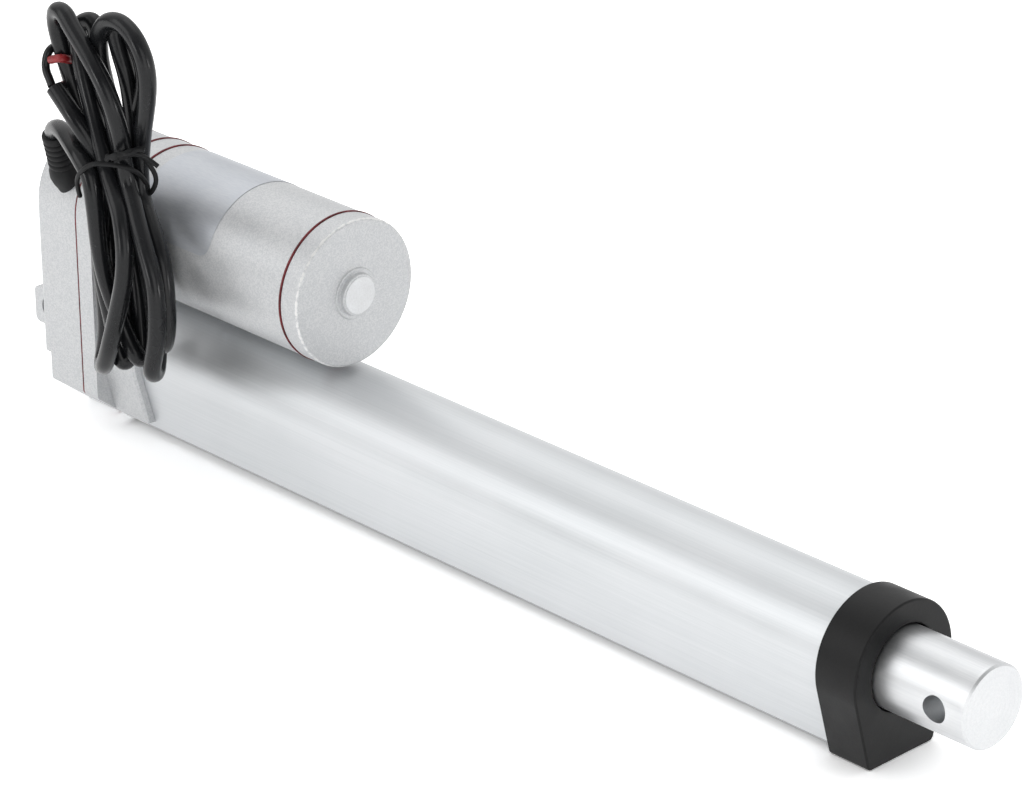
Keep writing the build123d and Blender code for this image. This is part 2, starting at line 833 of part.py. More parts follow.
def strain_relief():
    """Boot with a stout foot on the shoulder of the cover, tapered ribs and a neck in the wall."""
    length = boot_length()
    foot = boot_foot_d / 2
    waist = boot_base_d / 2 - boot_rib_depth
    pitch = (length - boot_foot_length) / (2 * boot_ribs)
    slope = (boot_base_d - boot_tip_d) / (2 * (length - boot_foot_length))
    points = [(0, -boot_inside), (foot, -boot_inside), (foot, boot_foot_length / 2)]
    points.append((waist, boot_foot_length))
    for n in range(2 * boot_ribs):
        start = boot_foot_length + n * pitch
        radius = boot_base_d / 2 - slope * n * pitch - (0 if n % 2 else boot_rib_depth)
        points += [(radius, start), (radius, start + pitch)]
    points = points[:4] + points[5:] + [(0, length)]
    boot = revolve(Plane.XZ * make_face(Polyline(*points, close=True)), Axis.Z)
    boot = (boot_frame() * boot) - cover_body()
    boot = max(boot.solids(), key=lambda solid: solid.volume)
    neck = boot_frame() * Pos(0, 0, -boot_inside) * Cylinder(
        boot_neck_d / 2, boot_inside + pitch, align=(Align.CENTER, Align.CENTER, Align.MIN)
    )
    return Part() + boot + neck


def route_radii(points):
    """Bend radius for each corner of a route, as large as its two runs allow."""
    spots = [Vector(*p) for p in points]
    radii = []
    for before, here, after in zip(spots, spots[1:], spots[2:]):
        into, out = here - before, after - here
        half_turn = math.radians(into.get_angle(out)) / 2
        radii.append(cord_turn_share * min(into.length, out.length) / math.tan(half_turn))
    return radii


def routed_tube(name, points, diameter):
    """Round tube along a route of straight runs joined by tangent arcs."""
    radii = route_radii(points)
    path = FilletPolyline(*points, radius=radii) if radii else Line(*points)
    start = Plane(origin=path @ 0, z_dir=path % 0)
    body = sweep(start * Circle(diameter / 2), path)
    ideal = path.length * math.pi * diameter**2 / 4
    print(name, "radii", [round(r, 1) for r in radii], "length", round(path.length, 1))
    print(name, "volume", round(body.volume, 1), "section times length", round(ideal, 1))
    return body


def hank_lobe(rounds):
    """One lobe of the hank: a flat pad round the waist and the bends of its loops."""
    waist_x = sum(hank_waist) / 2
    waist_r = (hank_waist[1] - hank_waist[0]) / 2
    circles = [(waist_x, tie_z, waist_r)] + rounds
    edges = [Pos(x, z) * Circle(radius).edge() for x, z, radius in circles]
    face = Plane.XZ.offset(-hank_back_y) * make_hull(edges)
    pad = extrude(face, hank_back_y - hank_front_y)
    return chamfer(pad.faces().filter_by(Axis.Y).edges(), hank_edge)


def cord_hank():
    """Closed outer shape of the hank: loops pinched at the tie, upright beside the motor."""
    return hank_lobe(hank_lower_lobe) + hank_lobe(hank_upper_lobe)


def twist_tie():
    """Wire tie round the waist of the hank."""
    left, right = hank_waist
    width = right - left + 2 * tie_wire
    depth = hank_back_y - hank_front_y + tie_wire
    outer = RectangleRounded(width, depth, hank_edge)
    middle_y = (hank_back_y + hank_front_y - tie_wire) / 2
    place = Pos((left + right) / 2, middle_y, tie_z - tie_half_height)
    band = extrude(place * outer, 2 * tie_half_height)
    return band - cord_hank()


PARTS = {
    "rear_cover": rear_cover,
    "front_housing": front_housing,
    "housing_gasket": housing_gasket,
    "housing_screws": housing_screws,
    "motor_bolts": motor_bolts,
    "motor_ring": motor_ring,
    "motor_gaskets": motor_gaskets,
    "motor_can": motor_can,
    "motor_end_cap": motor_end_cap,
    "motor_front_bush": lambda: motor_bush(ring_back),
    "motor_rear_bush": lambda: motor_bush(end_back),
    "magnets": magnets,
    "brush_plate": brush_plate,
    "brushes": brushes,
    "armature_shaft": armature_shaft,
    "armature_core": armature_core,
    "windings": windings,
    "commutator": commutator,
    "motor_pinion": motor_pinion,
    "idler_gear": idler_gear,
    "idler_pin": idler_pin,
    "screw_gear": screw_gear,
    "lead_screw": lead_screw,
    "rear_bearing": rear_bearing,
    "front_bearing": front_bearing,
    "bearing_retainer": bearing_retainer,
    "tube_seal": tube_seal,
    "outer_tube": outer_tube,
    "front_guide": front_guide,
    "front_cap": front_cap,
    "rod_wiper": rod_wiper,
    "rod": rod,
    "drive_nut": drive_nut,
    "nut_pins": nut_pins,
    "limit_board": limit_board,
    "rear_limit_switch": lambda: limit_switch(rear_switch_x),
    "front_limit_switch": lambda: limit_switch(front_switch_x),
    "rear_switch_plunger": lambda: switch_plunger(rear_switch_x),
    "front_switch_plunger": lambda: switch_plunger(front_switch_x),
    "board_diodes": board_diodes,
    "strain_relief": strain_relief,
    "lead_cord": lambda: routed_tube("lead_cord", cord_route, cord_d),
    "cord_hank": cord_hank,
    "twist_tie": twist_tie,
    "black_lead": lambda: routed_tube("black_lead", black_lead_route, lead_d),
    "red_lead": lambda: routed_tube("red_lead", red_lead_route, lead_d),
}


def write_parts():
    """Build each sub-part and write it to its own file."""
    os.makedirs("parts", exist_ok=True)
    for name, make in PARTS.items():
        shape = make()
        shape = Compound(children=shape) if isinstance(shape, list) else shape
        export_step(shape, f"parts/{name}.step")


write_parts()
print("idler at", round(idler_y, 3), round(idler_z, 3))
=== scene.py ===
"""Looks of the electric linear actuator, in metres, in the frame of its solids.

The origin is the centre of the rear mounting hole. +X runs along the rod in the way it
extends, +Z runs up from the rod to the motor, and -Y is the side where the lead leaves.
"""

import logging
import math
from dataclasses import dataclass
from enum import Enum

import bpy
from mathutils import Matrix, Vector


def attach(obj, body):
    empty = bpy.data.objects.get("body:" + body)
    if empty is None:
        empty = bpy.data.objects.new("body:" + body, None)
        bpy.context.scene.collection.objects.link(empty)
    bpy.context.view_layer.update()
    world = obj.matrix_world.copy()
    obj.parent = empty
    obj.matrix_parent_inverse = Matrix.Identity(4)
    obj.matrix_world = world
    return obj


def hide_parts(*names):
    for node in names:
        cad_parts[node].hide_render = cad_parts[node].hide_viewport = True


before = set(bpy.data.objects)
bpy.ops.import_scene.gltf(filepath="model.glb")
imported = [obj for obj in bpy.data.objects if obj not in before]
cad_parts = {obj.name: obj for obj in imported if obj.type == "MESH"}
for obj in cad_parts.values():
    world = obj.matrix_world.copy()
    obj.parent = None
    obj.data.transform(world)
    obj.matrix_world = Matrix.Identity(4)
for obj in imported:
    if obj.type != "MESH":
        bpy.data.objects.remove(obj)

LOG = logging.getLogger("actuator")
MM = 0.001
# Height of the motor's axis, in millimetres.
MOTOR_AXIS_Z = 34.8
WHITE = (1.0, 1.0, 1.0, 1.0)
# Flat facets closer than this in angle are joined, and points closer than this merged.
FLAT_DEG = 0.6
MERGE_MM = 0.002
# Edges sharper than this are rounded and shaded sharp.
SHARP_DEG = 32.0

Tree = bpy.types.NodeTree
Socket = bpy.types.NodeSocket
Piece = bpy.types.Object
Point = tuple[float, float, float]


class Hue(Enum):
    """Colours, as sRGB hex."""

    SILVER = "#D3D4D5"
    SILVER_SHADE = "#C4C6C8"
    SILVER_CHALK = "#E9E9E8"
    ANODISED = "#DDDFE1"
    ANODISED_SHADE = "#D2D5D7"
    TURNED = "#DEDFE0"
    TURNED_SHADE = "#D0D2D4"
    NYLON = "#0B0B0C"
    NYLON_WORN = "#131314"
    JACKET = "#151618"
    JACKET_DUST = "#1D1E20"
    WIRE_RED = "#A3262A"
    WIRE_RED_SHADE = "#7C1216"
    GASKET = "#451013"
    GASKET_PINK = "#84343A"
    FOIL = "#CFD2D6"
    FOIL_SHADE = "#BFC3CA"
    STICKER = "#E4E6E8"
    STEEL = "#B4B6B8"
    STEEL_SHADE = "#8E9194"
    ACETAL = "#E9E6DC"
    ACETAL_SHADE = "#D8D3C4"
    BRONZE = "#B08A4E"
    BRONZE_SHADE = "#8A6634"
    COPPER = "#B4653A"
    COPPER_SHADE = "#8A4524"
    FERRITE = "#2E2F31"
    FERRITE_SHADE = "#222325"
    CARBON = "#1D1E1F"
    CARBON_SHADE = "#121314"
    BOARD = "#1E5A37"
    BOARD_SHADE = "#174729"
    FLOOR = "#F4F4F4"


def linear(hue: Hue) -> tuple[float, float, float, float]:
    """Turns an sRGB hex colour to linear.

    Args:
        hue: The colour.

    Returns:
        Red, green, blue and an alpha of 1.
    """
    parts = [int(hue.value[i : i + 2], 16) / 255 for i in (1, 3, 5)]
    low_or_power = [c / 12.92 if c <= 0.04045 else ((c + 0.055) / 1.055) ** 2.4 for c in parts]
    return (*low_or_power, 1.0)


def add_node(
    tree: Tree, kind: str, settings: dict | None = None, inputs: dict | None = None
) -> bpy.types.Node:
    """Adds one node with its settings and its inputs.

    Args:
        tree: The node tree it goes in.
        kind: Its type, without the words ShaderNode.
        settings: Its properties by name.
        inputs: Its inputs by name or number: a value, or the output that feeds it.

    Returns:
        The node.
    """
    node = tree.nodes.new("ShaderNode" + kind)
    for key, value in (settings or {}).items():
        setattr(node, key, value)
    for key, value in (inputs or {}).items():
        if isinstance(value, Socket):
            tree.links.new(value, node.inputs[key])
        else:
            node.inputs[key].default_value = value
    return node


def calculated(
    tree: Tree, operation: str, first: Socket | float, second: Socket | float = 0.0
) -> Socket:
    """Adds a calculation with one or two numbers.

    Args:
        tree: The node tree.
        operation: Its name in Blender.
        first: The first number.
        second: The second number, where it needs one.

    Returns:
        The result.
    """
    return add_node(tree, "Math", {"operation": operation}, {0: first, 1: second}).outputs[0]


def mapped(
    tree: Tree, value: Socket, start: float, end: float, low: float = 0.0, high: float = 1.0
) -> Socket:
    """Maps a value from one range to another.

    Args:
        tree: The node tree.
        value: The value.
        start: The value that gives the low result.
        end: The value that gives the high result.
        low: The low result.
        high: The high result.

    Returns:
        The result, held between low and high.
    """
    inputs = {"Value": value, "From Min": start, "From Max": end, "To Min": low, "To Max": high}
    return add_node(tree, "MapRange", inputs=inputs).outputs[0]


def blended(tree: Tree, share: Socket, first: Socket | tuple, second: Socket | tuple) -> Socket:
    """Mixes two colours.

    Args:
        tree: The node tree.
        share: The second colour's share.
        first: The first colour.
        second: The second colour.

    Returns:
        The colour between them.
    """
    inputs = {0: share, 6: first, 7: second}
    return add_node(tree, "Mix", {"data_type": "RGBA"}, inputs).outputs[2]


def noise(tree: Tree, place: Socket, size_mm: float, detail: float, roughness: float = 0.5) -> Socket:
    """Adds noise.

    Args:
        tree: The node tree.
        place: Object coordinates.
        size_mm: Size of its spots.
        detail: How many finer layers lie over them.
        roughness: How strong those are.

    Returns:
        The noise, from 0 to 1.
    """
    inputs = {"Vector": place, "Scale": 1 / (size_mm * MM), "Detail": detail, "Roughness": roughness}
    return add_node(tree, "TexNoise", inputs=inputs).outputs["Fac"]


def bumped(
    tree: Tree, height: Socket, depth_mm: float, strength: float = 1.0, under: Socket | None = None
) -> Socket:
    """Raises a pattern by a depth.

    Args:
        tree: The node tree.
        height: The pattern.
        depth_mm: Its depth.
        strength: How much of it shows.
        under: The relief that it lies on.

    Returns:
        The bumped normal.
    """
    inputs = {"Strength": strength, "Distance": depth_mm * MM, "Height": height}
    if under is not None:
        inputs["Normal"] = under
    return add_node(tree, "Bump", inputs=inputs).outputs["Normal"]


def along(tree: Tree, place: Socket, axis: str) -> Socket:
    """Picks one coordinate out.

    Args:
        tree: The node tree.
        place: Object coordinates.
        axis: X, Y or Z.

    Returns:
        The coordinate.
    """
    return add_node(tree, "SeparateXYZ", inputs={0: place}).outputs[axis]


def length(tree: Tree, vector: Socket) -> Socket:
    """Measures a vector.

    Args:
        tree: The node tree.
        vector: The vector.

    Returns:
        Its length.
    """
    return add_node(tree, "VectorMath", {"operation": "LENGTH"}, {0: vector}).outputs["Value"]


class Metalness(Enum):
    """How much of a surface is bare or flake metal."""

    NONE = 0.0
    FLAKE = 0.45
    FOIL = 0.60
    SATIN = 0.62
    BARE = 1.0


@dataclass(frozen=True)
class Ground:
    """What a finish's nodes start from: object coordinates, a fine grain and a slow mottle."""

    tree: Tree
    place: Socket
    grain: Socket
    mottle: Socket


@dataclass(frozen=True)
class Finish:
    """A surface with a fine grain, a slow mottle and a sheen of its own.

    Sizes are in millimetres. Stretch scales the grain along X, Y and Z, so that drawn and
    extruded surfaces get streaks along their length. The colour goes from shade to light while
    the sum of grain and mottle crosses the tone range, and the roughness goes from low to high
    while the mottle crosses the gloss range.
    """

    name: str
    light: Hue
    shade: Hue
    metal: Metalness
    roughness: float
    roughness_spread: float = 0.06
    grain_mm: float = 0.5
    grain_depth_mm: float = 0.01
    mottle_mm: float = 9.0
    stretch: tuple[float, float, float] = (1.0, 1.0, 1.0)
    coat: float = 0.0
    specular: float = 0.5
    tone_range: tuple[float, float] = (0.7, 1.3)
    gloss_range: tuple[float, float] = (0.3, 0.7)

    def material(self) -> bpy.types.Material:
        """Gives the material, which is built at its first use."""
        return bpy.data.materials.get(self.name) or self.build()

    def build(self) -> bpy.types.Material:
        """Builds the material from its grain, its mottle and its shader.

        Returns:
            The material.
        """
        material = bpy.data.materials.new(self.name)
        material.use_nodes = True
        tree = material.node_tree
        tree.nodes.clear()
        place = add_node(tree, "TexCoord").outputs["Object"]
        mottle = noise(tree, place, self.mottle_mm, 3.0)
        ground = Ground(tree, place, self.grain(tree, place), mottle)
        shader = add_node(
            tree,
            "BsdfPrincipled",
            inputs={
                "Base Color": self.colour(ground),
                "Metallic": self.metal.value,
                "Roughness": self.gloss(ground),
                "Normal": self.relief(ground),
                "Coat Weight": self.coat,
                "Specular IOR Level": self.specular,
            },
        )
        add_node(tree, "OutputMaterial", inputs={"Surface": shader.outputs["BSDF"]})
        return material

    def grain(self, tree: Tree, place: Socket) -> Socket:
        """Adds the fine grain.

        Args:
            tree: The material's node tree.
            place: Object coordinates.

        Returns:
            The grain, from 0 to 1.
        """
        drawn = add_node(tree, "Mapping", inputs={"Vector": place, "Scale": self.stretch})
        return noise(tree, drawn.outputs["Vector"], self.grain_mm, 4.0, 0.6)

    def colour(self, ground: Ground) -> Socket:
        """Mixes the two colours by grain and mottle.

        Args:
            ground: What the nodes start from.

        Returns:
            The colour.
        """
        both = calculated(ground.tree, "ADD", ground.grain, ground.mottle)
        share = mapped(ground.tree, both, *self.tone_range)
        return blended(ground.tree, share, linear(self.shade), linear(self.light))

    def gloss(self, ground: Ground) -> Socket:
        """Spreads the roughness by the mottle.

        Args:
            ground: What the nodes start from.

        Returns:
            The roughness.
        """
        low = self.roughness - self.roughness_spread
        high = self.roughness + self.roughness_spread
        return mapped(ground.tree, ground.mottle, *self.gloss_range, low, high)

    def relief(self, ground: Ground) -> Socket:
        """Raises the grain by its depth.

        Args:
            ground: What the nodes start from.

        Returns:
            The bumped normal.
        """
        return bumped(ground.tree, ground.grain, self.grain_depth_mm)


@dataclass(frozen=True)
class ExtrudedTube(Finish):
    """Anodised extrusion, with painted shade darkening the corners of its flat base."""

    base_z_mm: float = -20.34
    painted_shade_mm: float = 0.9
    painted_shade_share: float = 0.40

    def colour(self, ground: Ground) -> Socket:
        """Darkens the lower corners with painted shade.

        Args:
            ground: What the nodes start from.

        Returns:
            The colour.
        """
        tree = ground.tree
        # Painted shade: the colour is darkened in a thin band just above the flat base.
        start = (self.base_z_mm + self.painted_shade_mm / 2) * MM
        end = (self.base_z_mm + self.painted_shade_mm) * MM
        painted_shade_scale = mapped(tree, along(tree, ground.place, "Z"), start, end, self.painted_shade_share)
        inputs = {0: super().colour(ground), "Scale": painted_shade_scale}
        return add_node(tree, "VectorMath", {"operation": "SCALE"}, inputs).outputs[0]


@dataclass(frozen=True)
class FlakePaint(Finish):
    """Silver paint with metal flakes, sprayed on a die casting or a steel can.

    The flakes catch the light one by one, so the surface sparkles finely. The real flake is
    about 0.05 mm, too fine to show, so it is drawn as coarse as the render needs. A rim round
    the motor's axis, where a finish has one, is chipped and chalky.
    """

    flake_mm: float = 0.30
    flake_tilt: float = 0.16
    rim_x_mm: float = 0.0
    rim_radius_mm: float = 0.0
    rim_width_mm: float = 0.9
    chip_mm: float = 1.3
    chip_range: tuple[float, float] = (0.27, 0.36)

    def grain(self, tree: Tree, place: Socket) -> Socket:
        """Adds the flakes: a shade of its own for each cell.

        Args:
            tree: The material's node tree.
            place: Object coordinates.

        Returns:
            The shade of each flake, from 0 to 1.
        """
        cells = add_node(
            tree, "TexVoronoi", inputs={"Vector": place, "Scale": 1 / (self.flake_mm * MM)}
        )
        return add_node(tree, "SeparateColor", inputs={0: cells.outputs["Color"]}).outputs[0]

    def relief(self, ground: Ground) -> Socket:
        """Tilts the flakes over the soft unevenness of the spray.

        Args:
            ground: What the nodes start from.

        Returns:
            The bumped normal.
        """
        tree = ground.tree
        soft = bumped(tree, noise(tree, ground.place, self.grain_mm, 3.0), self.grain_depth_mm)
        return bumped(tree, ground.grain, self.grain_depth_mm, self.flake_tilt, soft)

    def colour(self, ground: Ground) -> Socket:
        """Adds chalky wear round the rim, where the finish has one.

        Args:
            ground: What the nodes start from.

        Returns:
            The colour.
        """
        paint = super().colour(ground)
        if not self.rim_radius_mm:
            return paint
        tree, place = ground.tree, ground.place
        centre = (0, 0, -MOTOR_AXIS_Z * MM)
        flat = add_node(
            tree, "Mapping", inputs={"Vector": place, "Location": centre, "Scale": (0, 1, 1)}
        )
        reach = length(tree, flat.outputs["Vector"])
        outwards = calculated(tree, "SUBTRACT", reach, self.rim_radius_mm * MM)
        forwards = calculated(tree, "SUBTRACT", along(tree, place, "X"), self.rim_x_mm * MM)
        off = add_node(tree, "CombineXYZ", inputs={"X": forwards, "Y": outwards})
        edge = mapped(tree, length(tree, off.outputs[0]), self.rim_width_mm * MM, 0.0)
        chips = calculated(tree, "MULTIPLY", edge, noise(tree, place, self.chip_mm, 5.0))
        share = mapped(tree, chips, *self.chip_range)
        return blended(tree, share, paint, linear(Hue.SILVER_CHALK))


@dataclass(frozen=True)
class TurnedBar(Finish):
    """Drawn aluminium bar whose end was faced in a lathe, which leaves fine rings there."""

    face_x_mm: float = 312.2
    face_fade_mm: float = 0.2
    ring_mm: float = 1.5
    ring_depth_mm: float = 0.03

    def relief(self, ground: Ground) -> Socket:
        """Cuts tool rings in the end face over the drawn streaks.

        Args:
            ground: What the nodes start from.

        Returns:
            The bumped normal.
        """
        tree, place = ground.tree, ground.place
        flat = add_node(tree, "Mapping", inputs={"Vector": place, "Scale": (0, 1, 1)})
        reach = length(tree, flat.outputs["Vector"])
        turns = calculated(tree, "MULTIPLY", reach, 2 * math.pi / (self.ring_mm * MM))
        wave = calculated(tree, "SINE", turns)
        end = (self.face_x_mm + self.face_fade_mm) * MM
        face = mapped(tree, along(tree, place, "X"), self.face_x_mm * MM, end)
        rings = calculated(tree, "MULTIPLY", wave, face)
        return bumped(tree, rings, self.ring_depth_mm, under=super().relief(ground))


class Finishes:
    """Every finish on the actuator, by its common name."""

    # Zinc die casting under silver flake paint: dull sparkle, slightly uneven.
    casting = FlakePaint(
        "silver_paint_on_zinc_casting", Hue.SILVER, Hue.SILVER_SHADE, Metalness.FLAKE, 0.48,
        grain_mm=1.6, grain_depth_mm=0.03,
    )
    # The same paint on a steel can: smoother, so the sparkle shows more.
    can = FlakePaint(
        "silver_paint_on_steel_can", Hue.SILVER, Hue.SILVER_SHADE, Metalness.FLAKE, 0.44,
        grain_mm=1.1, grain_depth_mm=0.03,
    )
    # The end cap has lost some paint round its rim, where the bare edge looks chalky.
    end_cap = FlakePaint(
        "silver_paint_with_worn_rim", Hue.SILVER, Hue.SILVER_SHADE, Metalness.FLAKE, 0.48,
        grain_mm=1.4, grain_depth_mm=0.025, rim_x_mm=109.4, rim_radius_mm=18.83,
    )
    # Red fibre gasket: its cut edge is dark with pale fibres.
    gasket = Finish(
        "red_fibre_gasket", Hue.GASKET_PINK, Hue.GASKET, Metalness.NONE, 0.85,
        grain_mm=0.8, grain_depth_mm=0.03, mottle_mm=3.0,
    )
    # Clear anodised extrusion: even satin with faint die lines along its length, and painted shade
    # along its lower corners.
    tube = ExtrudedTube(
        "clear_anodised_aluminium", Hue.ANODISED, Hue.ANODISED_SHADE, Metalness.SATIN, 0.42,
        roughness_spread=0.03, grain_mm=0.5, grain_depth_mm=0.001, mottle_mm=40.0,
        stretch=(0.01, 1.0, 1.0),
    )
    # Drawn aluminium bar: brighter than the tube, with finer streaks.
    rod = TurnedBar(
        "drawn_and_turned_aluminium", Hue.TURNED, Hue.TURNED_SHADE, Metalness.BARE, 0.38,
        roughness_spread=0.04, grain_mm=0.4, grain_depth_mm=0.0012, mottle_mm=14.0,
        stretch=(0.04, 1.0, 1.0),
    )
    # Moulded glass-filled nylon: matt with a soft broad sheen.
    nylon = Finish(
        "black_moulded_nylon", Hue.NYLON_WORN, Hue.NYLON, Metalness.NONE, 0.44,
        grain_mm=0.6, grain_depth_mm=0.02, mottle_mm=6.0, specular=0.24,
    )
    # Soft black rubber of the boot, the seal and the wiper.
    rubber = Finish(
        "soft_black_rubber", Hue.NYLON_WORN, Hue.JACKET, Metalness.NONE, 0.58,
        grain_mm=0.5, grain_depth_mm=0.02, mottle_mm=4.0, specular=0.28,
    )
    # Black PVC jacket: smooth enough for one long grey highlight on each strand.
    jacket = Finish(
        "black_pvc_jacket", Hue.JACKET_DUST, Hue.JACKET, Metalness.NONE, 0.24,
        grain_mm=0.8, grain_depth_mm=0.01, mottle_mm=7.0, specular=0.30,
    )
    wire_red = Finish(
        "red_pvc_insulation", Hue.WIRE_RED, Hue.WIRE_RED_SHADE, Metalness.NONE, 0.42,
        grain_mm=0.6, grain_depth_mm=0.01, mottle_mm=3.0,
    )
    # Printed aluminium foil: brighter and smoother than the paint round it.
    foil = Finish(
        "brushed_foil_label", Hue.FOIL, Hue.FOIL_SHADE, Metalness.FOIL, 0.40,
        grain_mm=0.35, grain_depth_mm=0.004, mottle_mm=12.0, stretch=(0.15, 1.0, 1.0),
    )
    sticker = Finish(
        "pale_foil_sticker", Hue.STICKER, Hue.SILVER, Metalness.FLAKE, 0.40,
        grain_mm=0.5, grain_depth_mm=0.004, mottle_mm=5.0,
    )
    steel = Finish(
        "ground_steel", Hue.STEEL, Hue.STEEL_SHADE, Metalness.BARE, 0.30,
        grain_mm=0.3, grain_depth_mm=0.003,
    )
    acetal = Finish(
        "moulded_acetal", Hue.ACETAL, Hue.ACETAL_SHADE, Metalness.NONE, 0.38,
        grain_mm=0.8, grain_depth_mm=0.01,
    )
    bronze = Finish(
        "sintered_bronze", Hue.BRONZE, Hue.BRONZE_SHADE, Metalness.BARE, 0.42,
        grain_mm=0.4, grain_depth_mm=0.02,
    )
    copper = Finish(
        "enamelled_copper_wire", Hue.COPPER, Hue.COPPER_SHADE, Metalness.BARE, 0.32,
        grain_mm=0.5, grain_depth_mm=0.05, coat=0.5,
    )
    ferrite = Finish(
        "pressed_ferrite", Hue.FERRITE, Hue.FERRITE_SHADE, Metalness.NONE, 0.65,
        grain_mm=0.7, grain_depth_mm=0.03,
    )
    carbon = Finish(
        "pressed_carbon", Hue.CARBON, Hue.CARBON_SHADE, Metalness.NONE, 0.55,
        grain_mm=0.5, grain_depth_mm=0.02,
    )
    board = Finish(
        "green_solder_mask", Hue.BOARD, Hue.BOARD_SHADE, Metalness.NONE, 0.30,
        grain_mm=0.6, grain_depth_mm=0.005, coat=0.3,
    )


def nothing_selected() -> None:
    """Leaves edit mode and deselects everything."""
    if bpy.context.object and bpy.context.object.mode != "OBJECT":
        bpy.ops.object.mode_set(mode="OBJECT")
    bpy.ops.object.select_all(action="DESELECT")


def only(piece: Piece) -> None:
    """Makes one piece the only selected and active one."""
    nothing_selected()
    piece.select_set(True)
    bpy.context.view_layer.objects.active = piece


def apply_modifiers(piece: Piece) -> None:
    """Applies all modifiers of a piece, in order."""
    only(piece)
    for modifier in list(piece.modifiers):
        bpy.ops.object.modifier_apply(modifier=modifier.name)


def apply_place(piece: Piece) -> None:
    """Moves a piece's place, turn and size into its mesh."""
    only(piece)
    bpy.ops.object.transform_apply(location=True, rotation=True, scale=True)


def soften(
    piece: Piece, radius_mm: float, segments: int = 3, angle: float = SHARP_DEG
) -> None:
    """Rounds a piece's sharp edges and shades it smooth between them.

    Args:
        piece: The piece.
        radius_mm: Width of the rounding.
        segments: Faces across the rounding.
        angle: Edges sharper than this many degrees are rounded.
    """
    if radius_mm:
        rounding = piece.modifiers.new("rounded_edges", "BEVEL")
        rounding.limit_method = "ANGLE"
        rounding.angle_limit = math.radians(angle)
        rounding.width = radius_mm * MM
        rounding.segments = segments
        rounding.miter_outer = "MITER_ARC"
        rounding.harden_normals = False
        apply_modifiers(piece)
    only(piece)
    bpy.ops.object.shade_smooth_by_angle(angle=math.radians(angle), keep_sharp_edges=False)
    faces = piece.modifiers.new("flat_faces_stay_flat", "WEIGHTED_NORMAL")
    faces.keep_sharp = True
    faces.weight = 60
    apply_modifiers(piece)


def finish_piece(
    piece: Piece, body: str, finish: Finish, replaced: tuple[str, ...] = ()
) -> Piece:
    """Dresses a piece, hangs it on its body, hides the nodes that it replaces, and logs it.

    Args:
        piece: The piece, in place.
        body: The body that it rides on.
        finish: Its finish.
        replaced: The nodes that it replaces.

    Returns:
        The same piece.
    """
    piece.data.materials.clear()
    piece.data.materials.append(finish.material())
    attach(piece, body)
    if replaced:
        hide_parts(*replaced)
    LOG.info("%s on %s, %s", piece.name, body, finish.name)
    return piece


def refined(node: str, body: str, finish: Finish, radius_mm: float) -> Piece:
    """Makes a refined piece of a node: merged, its flats joined and its sharp edges rounded.

    Args:
        node: The node.
        body: The body that it rides on.
        finish: Its finish.
        radius_mm: Width of the rounding.

    Returns:
        The piece that replaces the node.
    """
    piece = bpy.data.objects.new(node + "_piece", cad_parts[node].data.copy())
    bpy.context.scene.collection.objects.link(piece)
    only(piece)
    bpy.ops.mesh.customdata_custom_splitnormals_clear()
    bpy.ops.object.mode_set(mode="EDIT")
    bpy.ops.mesh.select_all(action="SELECT")
    bpy.ops.mesh.remove_doubles(threshold=MERGE_MM * MM)
    bpy.ops.mesh.dissolve_limited(angle_limit=math.radians(FLAT_DEG))
    bpy.ops.object.mode_set(mode="OBJECT")
    soften(piece, radius_mm)
    return finish_piece(piece, body, finish, (node,))


def dress_nodes(names: tuple[str, ...], finish: Finish) -> None:
    """Gives nodes that keep their shape a finish.

    Args:
        names: The nodes.
        finish: Their finish.
    """
    for name in names:
        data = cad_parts[name].data
        data.materials.clear()
        data.materials.append(finish.material())
        LOG.info("%s keeps its shape, %s", name, finish.name)


def lathed(name: str, profile: list[tuple[float, float]], sides: int = 96) -> Piece:
    """Extrudes a circle ring by ring along Z, as a turned shape.

    Args:
        name: The piece's name.
        profile: Height and radius of each ring, in millimetres.
        sides: Sides of the circle.

    Returns:
        The piece, closed at both ends, standing on the origin along Z.
    """
    nothing_selected()
    height, radius = profile[0]
    bpy.ops.mesh.primitive_circle_add(
        vertices=sides, radius=radius * MM, fill_type="NGON", location=(0, 0, height * MM)
    )
    piece = bpy.context.object
    piece.name = name
    apply_place(piece)
    bpy.ops.object.mode_set(mode="EDIT")
    bpy.ops.mesh.select_all(action="SELECT")
    for above, wide in profile[1:]:
        bpy.ops.mesh.extrude_region_move(
            TRANSFORM_OT_translate={"value": (0, 0, (above - height) * MM)}
        )
        scale = wide / radius
        bpy.ops.transform.resize(value=(scale, scale, 1), center_override=(0, 0, 0))
        height, radius = above, wide
    bpy.ops.mesh.select_all(action="SELECT")
    bpy.ops.mesh.normals_make_consistent(inside=False)
    bpy.ops.object.mode_set(mode="OBJECT")
    return piece


def turned_to_x(piece: Piece, x: float, y: float, z: float) -> Piece:
    """Turns a lathed piece from Z to X and puts it in place.

    Args:
        piece: The piece.
        x: Its place along X, in millimetres.
        y: The same along Y.
        z: The same along Z.

    Returns:
        The same piece.
    """
    piece.matrix_world = Matrix.Translation(Vector((x, y, z)) * MM) @ Matrix.Rotation(
        math.pi / 2, 4, "Y"
    )
    apply_place(piece)
    return piece


@dataclass(frozen=True)
class Glow:
    """A soft bright patch of the room, as the actuator sees it."""

    towards: Point
    full_deg: float
    gone_deg: float
    strength: float

    def level(self, tree: Tree, way: Socket) -> Socket:
        """Adds the patch to the room.

        Args:
            tree: The world's node tree.
            way: The direction that is looked in.

        Returns:
            The patch's brightness in that direction.
        """
        nearness = add_node(
            tree,
            "VectorMath",
            {"operation": "DOT_PRODUCT"},
            {0: way, 1: Vector(self.towards).normalized()},
        )
        fade = add_node(
            tree,
            "MapRange",
            {"interpolation_type": "SMOOTHSTEP"},
            {
                "Value": nearness.outputs["Value"],
                "From Min": math.cos(math.radians(self.gone_deg)),
                "From Max": math.cos(math.radians(self.full_deg)),
                "To Min": 0.0,
                "To Max": self.strength,
            },
        )
        return fade.outputs[0]


